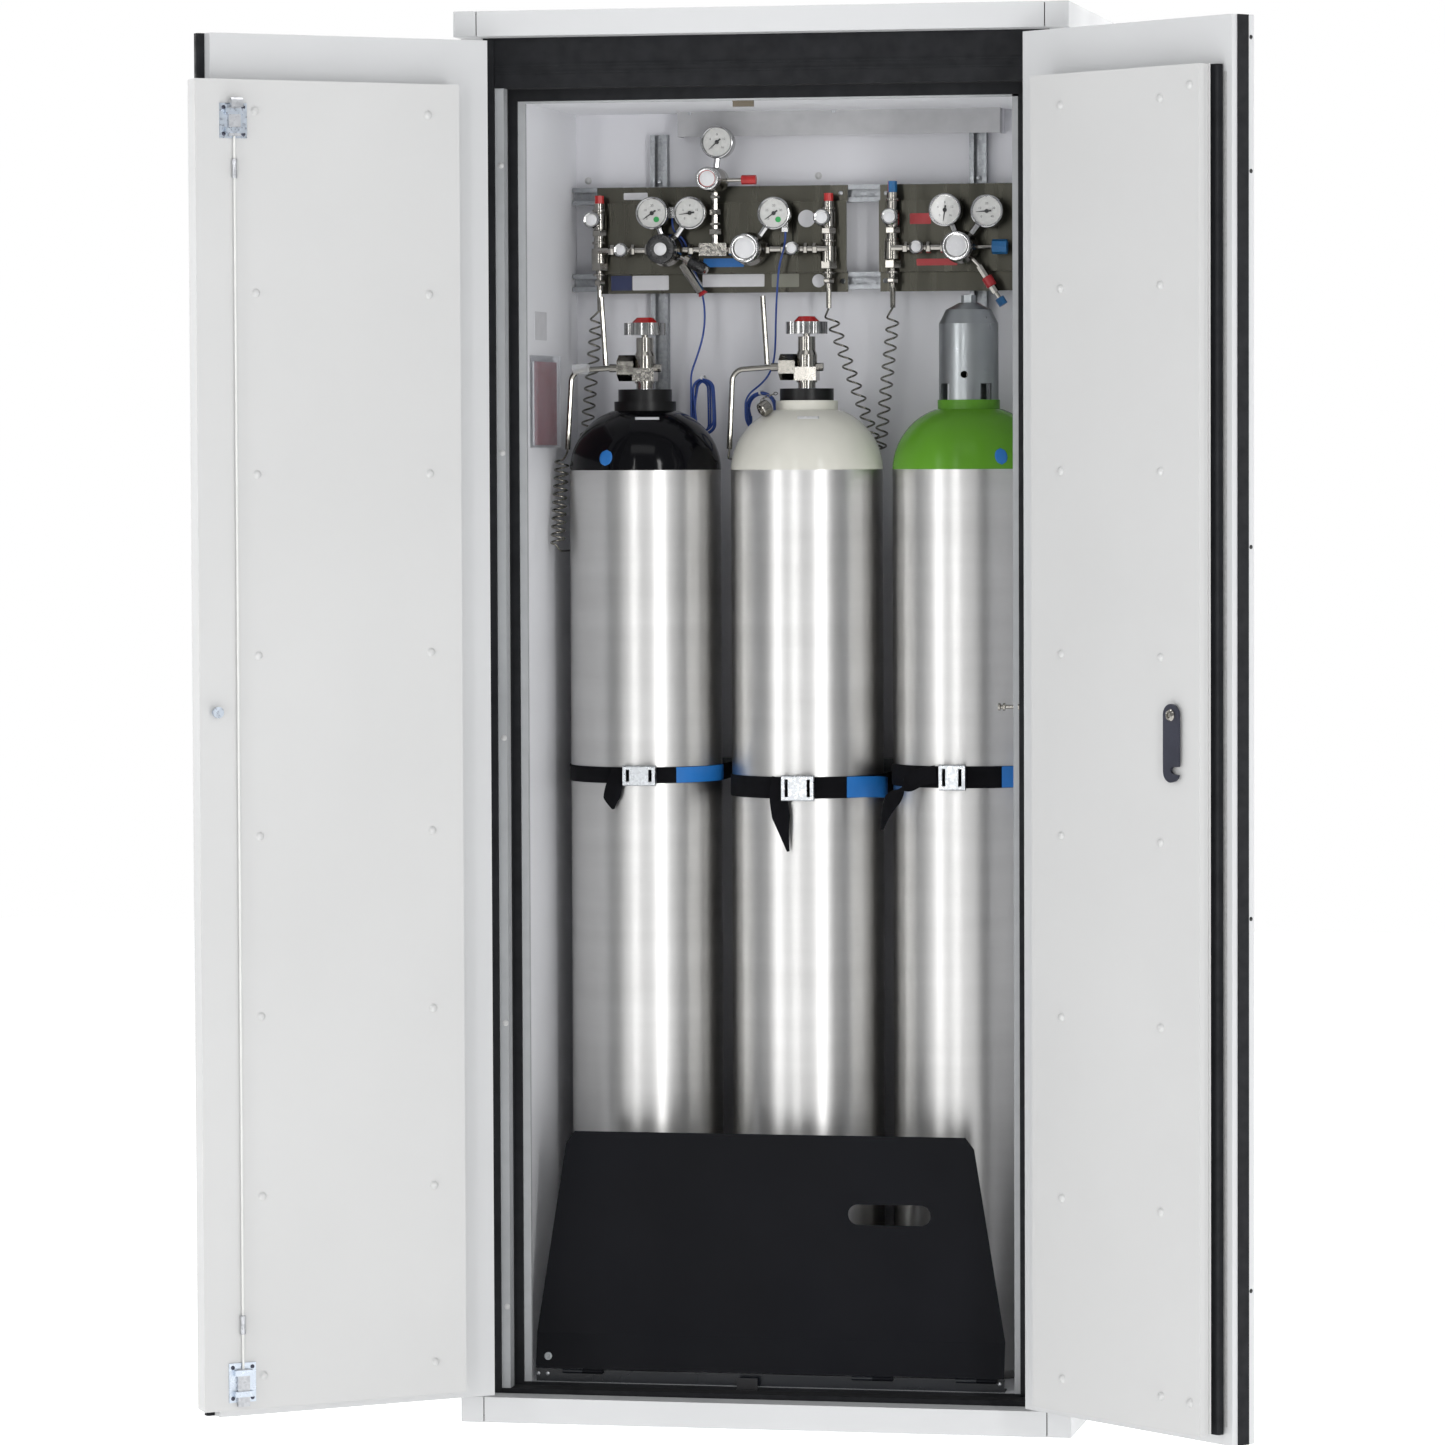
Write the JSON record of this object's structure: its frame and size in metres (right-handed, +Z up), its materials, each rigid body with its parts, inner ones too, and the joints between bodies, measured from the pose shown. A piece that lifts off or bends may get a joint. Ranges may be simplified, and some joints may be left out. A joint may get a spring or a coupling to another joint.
{
  "type": "gas cylinder cabinet",
  "caption": "Fire-resistant cabinet with open insulated doors, a folding ramp, strapped gas cylinders and pressure-regulating stations.",
  "frame": {"origin": "middle of the cabinet's underside, on the floor", "axes": "+X to the right seen from the front, +Y to the back, +Z up"},
  "size_m": [1.498, 0.9823, 2.08],
  "materials": {
    "casing_paint": "satin",
    "fire_board": "matte",
    "liner_panel": "satin",
    "black_seal": "matte",
    "trim_grey": "matte",
    "zinc_steel": "satin",
    "station_steel": "polished",
    "nickel_fittings": "satin",
    "gauge_case": "polished",
    "coil_wire": "satin",
    "outlet_plastic": "satin",
    "strap_web": "matte",
    "buckle_metal": "satin",
    "left_bottle": "satin",
    "neck_ring_black": "matte",
    "guard_zinc": "satin",
    "blue_cable": "satin",
    "ramp_black": "satin",
    "pocket_plastic": "gloss",
    "door_outer_paint": "satin",
    "door_inner_paint": "satin",
    "white_cord": "matte",
    "handle_black": "satin",
    "wheel_metal": "polished",
    "knob_white": "gloss"
  },
  "bodies": {
    "cabinet": {"outer_casing": "casing_paint", "insulation_boards": "fire_board", "inner_liner": "liner_panel", "rear_wall": "liner_panel", "frame_seal": "black_seal", "frame_trim": "trim_grey", "latch_keepers": "zinc_steel", "mounting_rails": "zinc_steel", "hinge_frame_plates": "zinc_steel", "exhaust_spigot": "zinc_steel", "levelling_feet": "zinc_steel", "station_plates": "station_steel", "changeover_manifold": "nickel_fittings", "single_manifold": "nickel_fittings", "cylinder_valves": "nickel_fittings", "cylinder_pigtails": "nickel_fittings", "pressure_gauges": "gauge_case", "pigtail_coils": "coil_wire", "outlet_caps": "outlet_plastic", "straps": "strap_web", "strap_buckles": "buckle_metal", "cylinder_left": "left_bottle", "cylinder_middle": "left_bottle", "cylinder_right": "left_bottle", "neck_rings": "neck_ring_black", "valve_guard": "guard_zinc", "signal_cables": "blue_cable", "cable_hank": "blue_cable", "cable_ring": "blue_cable", "ramp_base": "ramp_black", "document_pocket": "pocket_plastic"},
    "left_door": {"left_door_shell": "door_outer_paint", "left_door_panel": "door_inner_paint", "left_door_infill": "fire_board", "left_door_seals": "black_seal", "left_hinge_leaves": "zinc_steel", "latch_housings": "zinc_steel", "latch_cord": "white_cord"},
    "right_door": {"right_door_shell": "door_outer_paint", "right_door_panel": "door_inner_paint", "right_door_infill": "fire_board", "right_door_seals": "black_seal", "right_hinge_leaves": "zinc_steel"},
    "lock": {"lock_hook": "zinc_steel", "door_handle": "handle_black"},
    "ramp_plate": {"ramp_plate": "ramp_black"},
    "handwheel_left": {"handwheel_left": "wheel_metal"},
    "handwheel_middle": {"handwheel_middle": "wheel_metal"},
    "top_latch_bolt": {"top_latch_bolt": "zinc_steel"},
    "bottom_latch_bolt": {"bottom_latch_bolt": "zinc_steel"},
    "regulator_knob_left": {"regulator_knob_left": "knob_white"},
    "regulator_knob_right": {"regulator_knob_right": "knob_white"},
    "regulator_knob_single": {"regulator_knob_single": "knob_white"},
    "regulator_knob_line": {"regulator_knob_line": "knob_white"},
    "shutoff_knob_left": {"shutoff_knob_left": "knob_white"},
    "shutoff_knob_right": {"shutoff_knob_right": "knob_white"},
    "shutoff_knob_single": {"shutoff_knob_single": "knob_white"},
    "purge_knob_left": {"purge_knob_left": "knob_white"},
    "purge_knob_right": {"purge_knob_right": "knob_white"},
    "purge_knob_single": {"purge_knob_single": "knob_white"}
  },
  "joints": [
    {"name": "left_door_hinge", "type": "hinge", "parent": "cabinet", "child": "left_door", "pos_m": [-0.43126, -0.31567, 1.0255], "axis": [0, 0, -1], "range_deg": [-141.2, 34]},
    {"name": "right_door_hinge", "type": "hinge", "parent": "cabinet", "child": "right_door", "pos_m": [0.43126, -0.31567, 1.0255], "axis": [0, 0, 1], "range_deg": [-139, 36]},
    {"name": "top_bolt_slide", "type": "slide", "parent": "left_door", "child": "top_latch_bolt", "axis": [0, 0, 1], "range_m": [0, 0.009]},
    {"name": "bottom_bolt_slide", "type": "slide", "parent": "left_door", "child": "bottom_latch_bolt", "axis": [0, 0, -1], "range_m": [0, 0.009]},
    {"name": "lock_turn", "type": "hinge", "parent": "right_door", "child": "lock", "pos_m": [0.6919, -0.55126, 1.05], "axis": [-0.6553, -0.7554, 0], "range_deg": [0, 90]},
    {"name": "ramp_hinge", "type": "hinge", "parent": "cabinet", "child": "ramp_plate", "pos_m": [0, -0.2145, 0.064], "axis": [1, 0, 0], "range_deg": [0, 102]},
    {"name": "handwheel_left_turn", "type": "hinge", "parent": "cabinet", "child": "handwheel_left", "pos_m": [-0.23204, 0, 1.593], "axis": [0, 0, 1], "range_deg": [0, 720]},
    {"name": "handwheel_middle_turn", "type": "hinge", "parent": "cabinet", "child": "handwheel_middle", "pos_m": [0.01302, 0, 1.593], "axis": [0, 0, 1], "range_deg": [0, 720]},
    {"name": "regulator_knob_left_turn", "type": "hinge", "parent": "cabinet", "child": "regulator_knob_left", "pos_m": [-0.21696, 0.0515, 1.71606], "axis": [0, -1, 0], "range_deg": [0, 720]},
    {"name": "regulator_knob_right_turn", "type": "hinge", "parent": "cabinet", "child": "regulator_knob_right", "pos_m": [-0.08863, 0.0515, 1.71606], "axis": [0, -1, 0], "range_deg": [0, 720]},
    {"name": "regulator_knob_single_turn", "type": "hinge", "parent": "cabinet", "child": "regulator_knob_single", "pos_m": [0.23097, 0.0515, 1.71606], "axis": [0, -1, 0], "range_deg": [0, 720]},
    {"name": "regulator_knob_line_turn", "type": "hinge", "parent": "cabinet", "child": "regulator_knob_line", "pos_m": [-0.14296, 0.0515, 1.81999], "axis": [0, -1, 0], "range_deg": [0, 720]},
    {"name": "shutoff_knob_left_turn", "type": "hinge", "parent": "cabinet", "child": "shutoff_knob_left", "pos_m": [-0.28296, 0.0715, 1.71606], "axis": [0, -1, 0], "range_deg": [0, 360]},
    {"name": "shutoff_knob_right_turn", "type": "hinge", "parent": "cabinet", "child": "shutoff_knob_right", "pos_m": [-0.022, 0.0715, 1.71606], "axis": [0, -1, 0], "range_deg": [0, 360]},
    {"name": "shutoff_knob_single_turn", "type": "hinge", "parent": "cabinet", "child": "shutoff_knob_single", "pos_m": [0.16649, 0.0715, 1.71606], "axis": [0, -1, 0], "range_deg": [0, 360]},
    {"name": "purge_knob_left_turn", "type": "hinge", "parent": "cabinet", "child": "purge_knob_left", "pos_m": [-0.33002, 0.0815, 1.76198], "axis": [0, -1, 0], "range_deg": [0, 360]},
    {"name": "purge_knob_right_turn", "type": "hinge", "parent": "cabinet", "child": "purge_knob_right", "pos_m": [0.022, 0.0815, 1.76198], "axis": [0, -1, 0], "range_deg": [0, 360]},
    {"name": "purge_knob_single_turn", "type": "hinge", "parent": "cabinet", "child": "purge_knob_single", "pos_m": [0.12446, 0.0815, 1.76198], "axis": [0, -1, 0], "range_deg": [0, 360]}
  ],
  "couplings": [
    {"joint": "bottom_bolt_slide", "follows": "top_bolt_slide", "ratio": 1}
  ]
}
